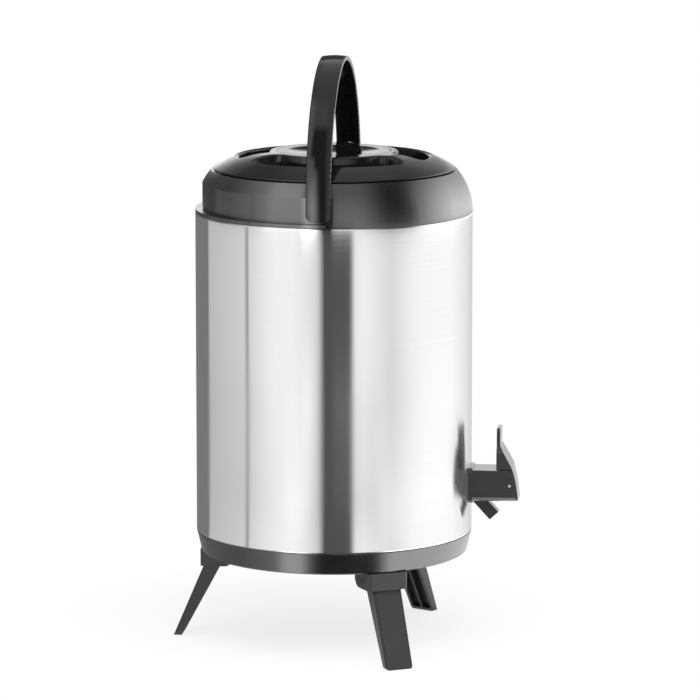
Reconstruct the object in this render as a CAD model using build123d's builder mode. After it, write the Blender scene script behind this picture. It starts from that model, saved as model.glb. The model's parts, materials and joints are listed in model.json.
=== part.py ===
from build123d import *
import math
import os

# Insulated beverage dispenser: millimetres, +Z up, floor at z = 0, barrel axis on Z.
# The tap points to -Y and the handle pivots lie on the X axis.

# Clearances
seat_gap = 0.2
running_gap = 0.05
swing_gap = 0.5
hole_gap = 0.4

# Steel jacket
barrel_radius = 135.0
shell_wall = 0.8
shell_height = 314.0
hem_width = 6.0
hem_bend = 1.4

# Base ring and bottom plate
ring_clearance = 89.0
ring_height = 21.0
ring_wall = 3.0
ring_draw_in = 5.0
ring_edge_round = 2.4
shelf_height = 9.0
shelf_thickness = 3.0
shelf_width = 23.0
plate_thickness = 3.0
plate_rib_width = 1.6
plate_rib_height = 2.5
plate_rib_inner = 28.0
plate_rib_margin = 9.0
plate_rib_count = 6

# Inner vessel and neck
insulation = 30.0
vessel_wall = 0.8
vessel_floor_rise = 12.0
vessel_corner = 12.0
rim_land = 6.0
throat_wall = 3.0
throat_depth = 17.6
rim_overhang = 2.0

# Shoulder, which the collar and the lid share
shoulder_radius = 61.0
shoulder_wall = 3.0
seam_rise = 41.0
seam_gap = 0.8

# Handle strap and its recess
strap_width = 24.0
strap_thickness = 5.4
strap_crown = 1.0
strap_round = 1.2
strap_groove_width = 10.0
strap_groove_depth = 0.8
strap_inset = 1.0
strap_lift = 2.1
strap_front_gap = 2.2
strap_end_round = 8.0
lip_height = 3.1
lip_notch = 7.0
lip_notch_depth = 2.4
boss_radius = 6.0
boss_reach = 0.8
pivot_washer_radius = 10.0
pivot_washer_thickness = 1.5
pivot_screw_radius = 2.0
pivot_screw_length = 8.0
pivot_head_radius = 4.5
pivot_head_height = 3.0

# Lid
lid_height = 17.6
lid_dome_radius = 88.4
lid_edge_round = 0.8
pocket_inset = 42.0
pocket_width = 30.4
pocket_count = 3
pocket_spread = 104.0
lid_rest_turn = 1.0
pocket_corner = 7.0
pocket_draft = 5.0
lid_floor_thickness = 2.1
hub_roof = 2.5
floor_land = 1.2
pocket_rim_bevel = 1.0
cap_inset = 6.9
cap_thickness = 5.0
dish_inset = 10.7
dish_depth = 3.2
dish_round = 1.0
plug_gap = 1.6
plug_wall = 3.0
gasket_height = 3.0
gasket_width = 6.0
plug_lip = 0.5
plug_neck_gap = 1.0
gasket_gap = 0.3
plug_floor = 2.5

# Legs and their brackets
leg_count = 3
leg_splay = 42.6
foot_length = 7.9
foot_corner = 3.0
pin_inset = 19.1
pin_drop = 8.7
lug_radius = 7.65
leg_top_width = 30.0
leg_taper = 2.0
leg_wall = 3.0
leg_rib = 2.0
leg_edge_round = 0.6
leg_step = 1.4
leg_step_width = 1.6
leg_pin_radius = 2.0
bracket_width = 41.0
bracket_drop = 17.0
bracket_depth = 33.5
bracket_proud = 0.5
bracket_wall = 2.6
bracket_roof = 3.0
bracket_corner = 3.0
cheek_round = 10.0
side_gap = 0.4

# Small screws
screw_radius = 1.7
screw_head_radius = 3.4
screw_head_height = 1.8
screw_end_gap = 0.5
base_screw_inset = 15.0
base_screw_spread = 40.0
bracket_screw_inset = 9.0
bracket_screw_spacing = 18.0

# Tap, measured outwards from its flange and up from the jacket's lower edge
tap_rise = 48.0
lever_pin_out = 36.2
lever_pin_radius = 1.6
stem_drop = 6.5
tap_width = 35.0
tap_above_pin = 14.7
tap_below_pin = 16.3
tap_front_top = 3.0
tap_front_bottom = 7.0
tap_bottom_round = 6.0
tap_edge_round = 0.8
tap_flange_width = 38.0
tap_flange_height = 35.0
tap_flange_thickness = 2.5
tap_flange_corner = 5.0
shank_radius = 9.0
shank_bore = 6.0
shank_inside = 11.0
shank_seat = 5.0
chamber_radius = 6.5
chamber_depth = 16.0
gland_wall = 2.3
cheek_wall = 2.9
cavity_roof = 3.0
cavity_roof_reach = 25.5
cavity_floor = 3.0
cavity_floor_reach = 30.0
spout_angle = 47.5
spout_height = 11.4
spout_width = 12.0
spout_bore = 3.6
spout_end_out = 20.5
spout_end_drop = 32.15
spout_length = 30.0
spout_bore_length = 28.0

# Tap fittings inside the vessel
inner_washer_radius = 14.0
inner_washer_thickness = 3.0
nut_width = 28.0
nut_sides = 6
nut_thickness = 5.5

# Lever
lever_height = 55.7
tab_height = 16.5
tab_width = 26.5
tab_thickness = 3.4
tab_corner = 4.0
tab_flare = 7.0
lever_back = 12.8
lever_rest_gap = 0.8
lever_plate = 2.8
lever_plate_width = 28.0
lever_plate_end = 15.0
lever_belly_out = 5.7
lever_belly_rise = 3.5
lever_boss_radius = 3.2
lever_nose_radius = 2.0
lever_rib = 6.0
lever_shoulder_out = 2.0
lever_shoulder_rise = 18.0
lever_bottom_out = 8.1

# Valve
stem_radius = 2.5
stem_end_gap = 0.2
stem_flange_radius = 5.2
stem_flange_thickness = 1.5
stem_tip = 3.0
stem_head_radius = 4.5
stem_head_thickness = 1.8
fin_count = 3
fin_thickness = 1.2
fin_length = 8.0
seal_radius = 8.2
seal_thickness = 3.0
fin_setback = 3.0
oring_wire = 1.0
gland_washer_thickness = 1.0
spring_wire = 0.45
spring_wire_sides = 8
spring_turns = 4
spring_radius = 4.0

# Levels up the barrel
steel_bottom = ring_clearance + ring_height
steel_top = steel_bottom + shell_height
seam_level = steel_top + seam_rise
collar_top = seam_level - seam_gap / 2
lid_rim = seam_level + seam_gap / 2
lid_top = lid_rim + lid_height
neck_level = collar_top - throat_depth
vessel_floor = steel_bottom + vessel_floor_rise
shelf_bottom = ring_clearance + shelf_height
plate_bottom = shelf_bottom - plate_thickness
bracket_bottom = ring_clearance - bracket_drop
lip_level = steel_top + lip_height
pocket_level = lid_rim + lid_floor_thickness
pocket_depth = lid_top - pocket_level
pin_height = ring_clearance - pin_drop
lever_pin_height = steel_bottom + tap_rise

# Radii round the barrel
shoulder_centre = barrel_radius - shoulder_radius
strap_outer = barrel_radius - strap_inset
strap_inner = strap_outer - strap_thickness
recess_radius = strap_inner - swing_gap
recess_wall_inner = recess_radius - shoulder_wall
vessel_radius = barrel_radius - insulation
shelf_bore = barrel_radius - shelf_width
throat_radius = vessel_radius + rim_land
throat_outer = throat_radius + throat_wall
rim_radius = throat_outer + rim_overhang
pivot_level = lip_level + strap_lift + strap_width / 2
recess_front = -(strap_width / 2 + strap_front_gap)
pocket_outer_radius = barrel_radius - pocket_inset
hub_radius = pocket_outer_radius - pocket_width
cap_radius = hub_radius - cap_inset
dish_radius = cap_radius - dish_inset
pin_reach = barrel_radius - pin_inset
foot_outer_radius = pin_reach + leg_splay
leg_foot_width = leg_top_width - leg_taper
bracket_outer_reach = barrel_radius - ring_draw_in + bracket_proud
bracket_inner_reach = bracket_outer_reach - bracket_depth
base_screw_reach = barrel_radius - base_screw_inset
bracket_screw_reach = bracket_inner_reach + bracket_screw_inset

# Tap stations outwards from the axis, used with a minus sign on Y
tap_back = barrel_radius + tap_flange_thickness
lever_pin_reach = tap_back + lever_pin_out
spout_end_reach = tap_back + spout_end_out
stem_level = lever_pin_height - stem_drop
tap_top = lever_pin_height + tap_above_pin
tap_bottom = lever_pin_height - tap_below_pin
shank_end = vessel_radius - shank_inside
chamber_end = tap_back + chamber_depth
oring_seat = chamber_end + gland_wall
cavity_back = oring_seat + 2 * (oring_wire + running_gap)
stem_end = lever_pin_reach - lever_nose_radius - stem_end_gap
stem_flange = stem_end - stem_tip - stem_flange_thickness
spring_back = cavity_back + gland_washer_thickness
hole_radius = shank_radius + hole_gap


def shoulder_radius_at(level, wall):
    """Radius of the shoulder's arc at a level, a wall's thickness inside its face."""
    rise = level - steel_top
    return shoulder_centre + math.sqrt((shoulder_radius - wall) ** 2 - rise**2)


def dome_run(level, wall):
    """How far the lid's arc stands out past the plateau at a level, a wall's thickness inside it."""
    rise = level - lid_top + lid_dome_radius
    return math.sqrt((lid_dome_radius - wall) ** 2 - rise**2)


def dome_level_at(radius, wall):
    """Level of the lid's arc at a radius, a wall's thickness inside its face."""
    run = radius - plateau_radius
    return lid_top - lid_dome_radius + math.sqrt((lid_dome_radius - wall) ** 2 - run**2)


def leg_direction(index):
    """Unit vector from the axis to a leg; leg 0 is at the rear, opposite the tap."""
    angle = math.radians(90 + index * 360 / leg_count)
    return math.cos(angle), math.sin(angle)


def leg_plane(index, sideways=0.0):
    """Upright plane through a leg's middle: local x runs outwards, local y runs up."""
    out_x, out_y = leg_direction(index)
    return Plane(
        origin=(out_y * sideways, -out_x * sideways, 0),
        x_dir=(out_x, out_y, 0),
        z_dir=(out_y, -out_x, 0),
    )


leg_names = ["rear", "left", "right"]
os.makedirs("parts", exist_ok=True)

# Outer shell: a rolled steel sheet whose top and bottom edges turn inwards
with BuildPart() as outer_shell:
    with BuildSketch(Plane.XZ):
        with Locations((barrel_radius - hem_width / 2, steel_bottom + shell_height / 2)):
            Rectangle(hem_width, shell_height)
        corners = vertices().group_by(Axis.X)[-1]
        fillet(corners, hem_bend)
        with Locations((barrel_radius - shell_wall - hem_width / 2, steel_bottom + shell_height / 2)):
            Rectangle(hem_width, shell_height - 2 * shell_wall, mode=Mode.SUBTRACT)
    revolve(axis=Axis.Z)
    with BuildSketch(Plane.XZ):
        with Locations((0, stem_level)):
            Circle(hole_radius)
    extrude(amount=barrel_radius + hem_width, mode=Mode.SUBTRACT)
outer_shell.part.label = "outer_shell"
export_step(outer_shell.part, "parts/outer_shell.step")

# Inner vessel: a drawn steel cup with a flat rim and a hole for the tap's shank
with BuildPart() as inner_vessel:
    with BuildSketch(Plane.XZ):
        with BuildLine():
            Polyline(
                (0, vessel_floor - vessel_wall),
                (vessel_radius + vessel_wall, vessel_floor - vessel_wall),
                (vessel_radius + vessel_wall, neck_level - vessel_wall),
                (rim_radius, neck_level - vessel_wall),
                (rim_radius, neck_level),
                (0, neck_level),
                close=True,
            )
        make_face()
        outer_corner = vertices().group_by(Axis.Y)[0].sort_by(Axis.X)[-1]
        fillet(outer_corner, vessel_corner + vessel_wall)
    revolve(axis=Axis.Z)
    with BuildSketch(Plane.XZ):
        with Locations((0, vessel_floor)):
            Rectangle(vessel_radius, neck_level - vessel_floor, align=(Align.MIN, Align.MIN))
        inner_corner = vertices().group_by(Axis.Y)[0].sort_by(Axis.X)[-1]
        fillet(inner_corner, vessel_corner)
    revolve(axis=Axis.Z, mode=Mode.SUBTRACT)
    with BuildSketch(Plane.XZ):
        with Locations((0, stem_level)):
            Circle(hole_radius)
    extrude(amount=barrel_radius, mode=Mode.SUBTRACT)
inner_vessel.part.label = "inner_vessel"
export_step(inner_vessel.part, "parts/inner_vessel.step")

# Foam jacket: insulation poured round the vessel, down to the bottom plate
foam_radius = barrel_radius - shell_wall - seat_gap
foam_bore = vessel_radius + vessel_wall + seat_gap
foam_foot_radius = barrel_radius - hem_width - seat_gap
foam_neck_radius = throat_radius + throat_wall / 2
with BuildPart() as foam_jacket:
    with BuildSketch(Plane.XZ):
        with BuildLine():
            Polyline(
                (0, shelf_bottom),
                (shelf_bore - seat_gap, shelf_bottom),
                (shelf_bore - seat_gap, shelf_bottom + shelf_thickness),
                (foam_foot_radius, shelf_bottom + shelf_thickness),
                (foam_foot_radius, steel_bottom + shell_wall + seat_gap),
                (foam_radius, steel_bottom + shell_wall + seat_gap),
                (foam_radius, steel_top - shell_wall - seat_gap),
                (foam_neck_radius, steel_top - shell_wall - seat_gap),
                (foam_neck_radius, neck_level - vessel_wall),
                (foam_bore, neck_level - vessel_wall),
                (foam_bore, vessel_floor - vessel_wall - seat_gap),
                (0, vessel_floor - vessel_wall - seat_gap),
                close=True,
            )
        make_face()
        pan_corner = vertices().filter_by_position(Axis.X, foam_bore, foam_bore).sort_by(Axis.Y)[0]
        fillet(pan_corner, vessel_corner + vessel_wall + seat_gap)
    revolve(axis=Axis.Z)
    with BuildSketch(Plane.XZ):
        with Locations((0, stem_level)):
            Circle(hole_radius)
    extrude(amount=barrel_radius, mode=Mode.SUBTRACT)
foam_jacket.part.label = "foam_jacket"
export_step(foam_jacket.part, "parts/foam_jacket.step")

# Collar: a hollow shoulder ring with the neck inside it and the handle's recess behind
collar_cut = barrel_radius + hem_width
with BuildPart() as collar_recess:
    with BuildSketch(Plane.XY.offset(lip_level)):
        Circle(collar_cut)
        Circle(recess_radius, mode=Mode.SUBTRACT)
        with Locations((0, recess_front - collar_cut)):
            Rectangle(2 * collar_cut, 2 * collar_cut, mode=Mode.SUBTRACT)
    extrude(amount=shoulder_radius)
with BuildPart() as collar_hollow:
    with BuildSketch(Plane.XZ):
        with BuildLine():
            roof = collar_top - shoulder_wall
            hollow_inner = Line((throat_outer, steel_top), (throat_outer, roof))
            hollow_roof = Line(hollow_inner @ 1, (shoulder_radius_at(roof, shoulder_wall), roof))
            hollow_side = RadiusArc(
                hollow_roof @ 1,
                (barrel_radius - shoulder_wall, steel_top),
                shoulder_radius - shoulder_wall,
            )
            Line(hollow_side @ 1, hollow_inner @ 0)
        make_face()
    revolve(axis=Axis.Z)
    with BuildSketch(Plane.XY.offset(lip_level - shoulder_wall)):
        Circle(collar_cut)
        Circle(recess_wall_inner, mode=Mode.SUBTRACT)
        with Locations((0, recess_front - shoulder_wall - collar_cut)):
            Rectangle(2 * collar_cut, 2 * collar_cut, mode=Mode.SUBTRACT)
    extrude(amount=shoulder_radius, mode=Mode.SUBTRACT)
with BuildPart() as collar:
    with BuildSketch(Plane.XZ):
        with BuildLine():
            neck_line = Line((throat_radius, neck_level), (throat_radius, collar_top))
            top_land = Line(neck_line @ 1, (shoulder_radius_at(collar_top, 0), collar_top))
            side_arc = RadiusArc(top_land @ 1, (barrel_radius, steel_top), shoulder_radius)
            foot_line = Line(side_arc @ 1, (throat_outer, steel_top))
            neck_back = Line(foot_line @ 1, (throat_outer, neck_level))
            Line(neck_back @ 1, neck_line @ 0)
        make_face()
    revolve(axis=Axis.Z)
    add(collar_recess.part, mode=Mode.SUBTRACT)
    add(collar_hollow.part, mode=Mode.SUBTRACT)
    with BuildSketch(Plane.YZ):
        with Locations((0, pivot_level)):
            Circle(boss_radius + running_gap)
    extrude(amount=collar_cut, both=True, mode=Mode.SUBTRACT)
    seam_edges = edges().filter_by(GeomType.CIRCLE).group_by(Axis.Z)[-1]
    fillet(seam_edges, seam_gap / 2)
    with BuildSketch(Plane.XY.offset(lip_level - lip_notch_depth)):
        with Locations((0, recess_front + seat_gap + lip_notch / 2)):
            Rectangle(2 * collar_cut, lip_notch)
        Circle(recess_radius + seat_gap, mode=Mode.SUBTRACT)
    extrude(amount=lip_notch_depth + strap_lift, mode=Mode.SUBTRACT)
collar.part.label = "collar"
export_step(collar.part, "parts/collar.step")

# Handle: a half-round strap with a crowned face and rounded ends on its pivots
with BuildSketch(Plane.XY.offset(pivot_level)) as strap_section:
    with BuildLine():
        inner_face = Line((strap_inner, -strap_width / 2), (strap_inner, strap_width / 2))
        upper_side = Line(inner_face @ 1, (strap_outer - strap_crown, strap_width / 2))
        crown_arc = ThreePointArc(
            upper_side @ 1,
            (strap_outer, 0),
            (strap_outer - strap_crown, -strap_width / 2),
        )
        Line(crown_arc @ 1, inner_face @ 0)
    make_face()
    fillet(vertices(), strap_round)
    with Locations((strap_inner, 0)):
        Rectangle(2 * strap_groove_depth, strap_groove_width, mode=Mode.SUBTRACT)
boss_end = recess_wall_inner - boss_reach
with BuildPart() as handle_tab:
    add(strap_section.sketch)
    extrude(amount=-strap_width)
    with BuildSketch(Plane.YZ):
        with Locations((0, pivot_level)):
            Rectangle(strap_width + swing_gap, strap_width)
        fillet(vertices().group_by(Axis.Y)[0], strap_end_round)
    extrude(amount=barrel_radius, mode=Mode.INTERSECT)
    with BuildSketch(Plane.YZ.offset(boss_end)):
        with Locations((0, pivot_level)):
            Circle(boss_radius)
    extrude(amount=strap_inner + strap_thickness / 2 - boss_end)
    with BuildSketch(Plane.YZ.offset(boss_end)):
        with Locations((0, pivot_level)):
            Circle(pivot_screw_radius + running_gap)
    extrude(amount=pivot_screw_length, mode=Mode.SUBTRACT)
with BuildPart() as handle:
    add(strap_section.sketch)
    revolve(axis=Axis((0, 0, pivot_level), (0, -1, 0)), revolution_arc=180)
    add(handle_tab.part)
    add(mirror(handle_tab.part, about=Plane.YZ, mode=Mode.PRIVATE))
    with BuildSketch(Plane.YZ.offset(boss_end)) as screw_holes:
        with Locations((0, pivot_level)):
            Circle(pivot_screw_radius + running_gap)
    extrude(amount=pivot_screw_length, mode=Mode.SUBTRACT)
    extrude(
        mirror(screw_holes.sketch, about=Plane.YZ, mode=Mode.PRIVATE),
        amount=pivot_screw_length,
        dir=(-1, 0, 0),
        mode=Mode.SUBTRACT,
    )
handle.part.label = "handle"
export_step(handle.part, "parts/handle.step")

# Pivot washers and screws: one of each inside the collar at either end of the handle
washer_end = boss_end - pivot_washer_thickness
with BuildPart() as handle_washers:
    with BuildSketch(Plane.YZ.offset(washer_end)):
        with Locations((0, pivot_level)):
            Circle(pivot_washer_radius)
            Circle(pivot_screw_radius + running_gap, mode=Mode.SUBTRACT)
    extrude(amount=pivot_washer_thickness)
    mirror(about=Plane.YZ)
handle_washers.part.label = "handle_washers"
export_step(handle_washers.part, "parts/handle_washers.step")

with BuildPart() as handle_screws:
    with BuildSketch(Plane.YZ.offset(washer_end - pivot_head_height)):
        with Locations((0, pivot_level)):
            Circle(pivot_head_radius)
    extrude(amount=pivot_head_height)
    with BuildSketch(Plane.YZ.offset(washer_end)):
        with Locations((0, pivot_level)):
            Circle(pivot_screw_radius)
    extrude(amount=pivot_washer_thickness + pivot_screw_length - screw_end_gap)
    mirror(about=Plane.YZ)
handle_screws.part.label = "handle_screws"
export_step(handle_screws.part, "parts/handle_screws.step")


def ring_inside(level):
    """Inside radius of the drawn-in base ring at a level."""
    return barrel_radius - ring_wall - ring_draw_in * (steel_bottom - level) / ring_height


def round_the_axis(reach, angle):
    """Point at a reach from the barrel's axis, at an angle in degrees from +X."""
    return reach * math.cos(math.radians(angle)), reach * math.sin(math.radians(angle))


base_screw_points = []
bracket_screw_points = []
for index in range(leg_count):
    leg_angle = 90 + index * 360 / leg_count
    between = leg_angle + 180 / leg_count
    base_screw_points.append(round_the_axis(base_screw_reach, between - base_screw_spread / 2))
    base_screw_points.append(round_the_axis(base_screw_reach, between + base_screw_spread / 2))
    aside = math.degrees(math.atan2(bracket_screw_spacing / 2, bracket_screw_reach))
    slant = math.hypot(bracket_screw_reach, bracket_screw_spacing / 2)
    bracket_screw_points.append(round_the_axis(slant, leg_angle - aside))
    bracket_screw_points.append(round_the_axis(slant, leg_angle + aside))

# Base ring: a drawn-in band with a shelf inside it for the bottom plate
with BuildPart() as base_ring:
    with BuildSketch(Plane.XZ):
        shelf_top = shelf_bottom + shelf_thickness
        with BuildLine():
            Polyline(
                (barrel_radius, steel_bottom),
                (barrel_radius - ring_draw_in, ring_clearance),
                (ring_inside(ring_clearance), ring_clearance),
                (ring_inside(shelf_bottom), shelf_bottom),
                (shelf_bore, shelf_bottom),
                (shelf_bore, shelf_top),
                (ring_inside(shelf_top), shelf_top),
                (ring_inside(steel_bottom), steel_bottom),
                close=True,
            )
        make_face()
        lower_edge = vertices().group_by(Axis.Y)[0].sort_by(Axis.X)[-1]
        fillet(lower_edge, ring_edge_round)
        upper_edge = vertices().group_by(Axis.Y)[-1].sort_by(Axis.X)[-1]
        fillet(upper_edge, seam_gap / 2)
    revolve(axis=Axis.Z)
    with BuildSketch(Plane.XY.offset(shelf_bottom)):
        with Locations(*base_screw_points):
            Circle(screw_radius + running_gap)
    extrude(amount=shelf_thickness, mode=Mode.SUBTRACT)
base_ring.part.label = "base_ring"
export_step(base_ring.part, "parts/base_ring.step")

# Base plate: the bottom cover, ribbed below and screwed up against the ring's shelf
plate_rib_outer = bracket_inner_reach - plate_rib_margin
with BuildPart() as base_plate:
    with BuildSketch(Plane.XY.offset(plate_bottom)):
        Circle(ring_inside(plate_bottom) - hole_gap)
        with Locations(*base_screw_points, *bracket_screw_points):
            Circle(screw_radius + running_gap, mode=Mode.SUBTRACT)
    extrude(amount=plate_thickness)
    with BuildSketch(Plane.XY.offset(plate_bottom)):
        for rib_radius in (plate_rib_inner, plate_rib_outer):
            Circle(rib_radius)
            Circle(rib_radius - plate_rib_width, mode=Mode.SUBTRACT)
        with PolarLocations(plate_rib_inner - plate_rib_width / 2, plate_rib_count, start_angle=30):
            rib_run = plate_rib_outer - plate_rib_inner
            Rectangle(rib_run, plate_rib_width, align=(Align.MIN, Align.CENTER))
    extrude(amount=-plate_rib_height)
base_plate.part.label = "base_plate"
export_step(base_plate.part, "parts/base_plate.step")

with BuildPart() as base_screws:
    with BuildSketch(Plane.XY.offset(plate_bottom)):
        with Locations(*base_screw_points):
            Circle(screw_head_radius)
    extrude(amount=-screw_head_height)
    with BuildSketch(Plane.XY.offset(plate_bottom)):
        with Locations(*base_screw_points):
            Circle(screw_radius)
    extrude(amount=plate_thickness + shelf_thickness - screw_end_gap)
base_screws.part.label = "base_screws"
export_step(base_screws.part, "parts/base_screws.step")

# Leg brackets: three U-shaped housings, each open below and towards the middle
roof_level = plate_bottom - bracket_roof
bracket_shelf_reach = math.sqrt(ring_inside(ring_clearance) ** 2 - bracket_width**2 / 4) - swing_gap
leg_room = leg_top_width / 2 + side_gap
for index, leg_name in enumerate(leg_names):
    outwards = Axis((0, 0, 0), (*leg_direction(index), 0))
    with BuildPart() as leg_bracket:
        with BuildSketch(leg_plane(index)):
            with BuildLine():
                Polyline(
                    (bracket_inner_reach, plate_bottom),
                    (bracket_shelf_reach, plate_bottom),
                    (bracket_shelf_reach, ring_clearance - seat_gap),
                    (bracket_outer_reach, ring_clearance - seat_gap),
                    (bracket_outer_reach, bracket_bottom),
                    (bracket_inner_reach, bracket_bottom),
                    close=True,
                )
            make_face()
            inner_corner = vertices().group_by(Axis.Y)[0].sort_by(Axis.X)[0]
            fillet(inner_corner, cheek_round)
        extrude(amount=bracket_width / 2, both=True)
        upright_edges = edges().filter_by(Axis.Z).group_by(outwards)[-1]
        fillet(upright_edges, bracket_corner)
        with BuildSketch(leg_plane(index)):
            with Locations((bracket_outer_reach - bracket_wall, roof_level)):
                Rectangle(
                    bracket_outer_reach,
                    roof_level,
                    align=(Align.MAX, Align.MAX),
                )
        extrude(amount=leg_room, both=True, mode=Mode.SUBTRACT)
        with BuildSketch(leg_plane(index)):
            with Locations((pin_reach, pin_height)):
                Circle(leg_pin_radius + running_gap)
        extrude(amount=bracket_width / 2, both=True, mode=Mode.SUBTRACT)
        with BuildSketch(Plane.XY.offset(roof_level)):
            with Locations(*bracket_screw_points[2 * index : 2 * index + 2]):
                Circle(screw_radius + running_gap)
        extrude(amount=bracket_roof, mode=Mode.SUBTRACT)
    leg_bracket.part.label = f"leg_bracket_{leg_name}"
    export_step(leg_bracket.part, f"parts/leg_bracket_{leg_name}.step")

    # Hinge pin of this leg, across its bracket
    with BuildPart() as leg_pin:
        with BuildSketch(leg_plane(index)):
            with Locations((pin_reach, pin_height)):
                Circle(leg_pin_radius)
        extrude(amount=bracket_width / 2 - seat_gap, both=True)
    leg_pin.part.label = f"leg_pin_{leg_name}"
    export_step(leg_pin.part, f"parts/leg_pin_{leg_name}.step")

    # Leg: a splayed channel, open towards the middle, with a lug round its pin
    foot_inner_radius = foot_outer_radius - foot_length
    lean = math.atan2(foot_outer_radius - pin_reach - lug_radius, pin_height)
    wall_run = leg_wall / math.cos(lean)
    leg_top = pin_height + lug_radius
    pocket_top = pin_height - 2 * lug_radius
    pocket_slope = (leg_splay - lug_radius * math.cos(lean)) / pin_height
    channel_width = (leg_foot_width - 2 * leg_wall - leg_rib) / 2
    leg_reach = math.hypot(leg_splay, pin_height)
    face_angle = math.atan2(pin_height, -leg_splay) - math.asin(lug_radius / leg_reach)
    up_face = Vector(math.cos(face_angle), math.sin(face_angle))
    off_face = Vector(math.sin(face_angle), -math.cos(face_angle))
    foot_point = Vector(foot_outer_radius, 0)
    with BuildPart() as leg:
        with BuildSketch(leg_plane(index)):
            with Locations((pin_reach, pin_height)):
                Circle(lug_radius)
            with BuildLine():
                Polyline(
                    (foot_inner_radius, 0),
                    (foot_outer_radius, 0),
                    (foot_outer_radius - foot_length / 2, leg_wall),
                    close=True,
                )
            make_face()
            make_hull()
        extrude(amount=leg_top_width / 2, both=True)
        out_x, out_y = leg_direction(index)
        with BuildSketch(Plane(origin=(0, 0, 0), x_dir=(-out_y, out_x, 0), z_dir=(out_x, out_y, 0))):
            with BuildLine():
                Polyline(
                    (-leg_foot_width / 2, 0),
                    (leg_foot_width / 2, 0),
                    (leg_top_width / 2, leg_top),
                    (-leg_top_width / 2, leg_top),
                    close=True,
                )
            make_face()
            fillet(vertices().group_by(Axis.Y)[0], foot_corner)
        extrude(amount=2 * foot_outer_radius, mode=Mode.INTERSECT)
        for side in (-1, 1):
            with BuildSketch(leg_plane(index, side * (leg_top_width - leg_step_width))):
                with BuildLine():
                    Polyline(
                        foot_point + off_face * leg_wall - up_face * leg_wall,
                        foot_point + off_face * leg_wall + up_face * leg_reach,
                        foot_point - off_face * leg_step + up_face * leg_reach,
                        foot_point - off_face * leg_step - up_face * leg_wall,
                        close=True,
                    )
                make_face()
            step_reach = leg_top_width - leg_foot_width / 2
            extrude(amount=step_reach, both=True, mode=Mode.SUBTRACT)
        outer_face = faces().filter_by(GeomType.PLANE).sort_by(
            lambda face: face.normal_at().dot(Vector(out_x, out_y, 0))
        )[-1]
        fillet(outer_face.edges().sort_by(SortBy.LENGTH)[-2:], leg_edge_round)
        for side in (-1, 1):
            middle = side * (leg_rib + channel_width) / 2
            with BuildSketch(leg_plane(index, middle)):
                with BuildLine():
                    foot_reach = foot_outer_radius - wall_run
                    Polyline(
                        (foot_reach - pocket_slope * leg_wall, leg_wall),
                        (foot_reach - pocket_slope * pocket_top, pocket_top),
                        (bracket_inner_reach, pocket_top),
                        (bracket_inner_reach, leg_wall),
                        close=True,
                    )
                make_face()
            extrude(amount=channel_width / 2, both=True, mode=Mode.SUBTRACT)
        with BuildSketch(leg_plane(index)):
            with Locations((pin_reach, pin_height)):
                Circle(leg_pin_radius + running_gap)
        extrude(amount=leg_top_width, both=True, mode=Mode.SUBTRACT)
    leg.part.label = f"leg_{leg_name}"
    export_step(leg.part, f"parts/leg_{leg_name}.step")

with BuildPart() as bracket_screws:
    with BuildSketch(Plane.XY.offset(roof_level)):
        with Locations(*bracket_screw_points):
            Circle(screw_head_radius)
    extrude(amount=-screw_head_height)
    with BuildSketch(Plane.XY.offset(roof_level)):
        with Locations(*bracket_screw_points):
            Circle(screw_radius)
    extrude(amount=bracket_roof + plate_thickness - screw_end_gap)
bracket_screws.part.label = "bracket_screws"
export_step(bracket_screws.part, "parts/bracket_screws.step")

# Lid shell: the dome over the neck, with three finger pockets round a hub
plateau_radius = shoulder_radius_at(lid_rim, 0) - dome_run(lid_rim, 0)
weld_outer = throat_radius - plug_gap
weld_inner = weld_outer - plug_wall
floor_radius = pocket_outer_radius + floor_land
pocket_angles = [180 + lid_rest_turn - index * 360 / pocket_count for index in range(pocket_count)]


def on_pocket_rim(edge):
    """True for an edge where a finger pocket breaks through the lid's top."""
    middle = edge @ 0.5
    reach = math.hypot(middle.X, middle.Y)
    bearing = math.degrees(math.atan2(middle.Y, middle.X))
    turns = [abs((bearing - angle + 180) % 360 - 180) for angle in pocket_angles]
    ends_high = min((edge @ 0).Z, (edge @ 1).Z) > pocket_level + pocket_depth / 2
    return ends_high and reach > cap_radius + shoulder_wall and min(turns) < pocket_spread / 2 + 1


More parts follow.
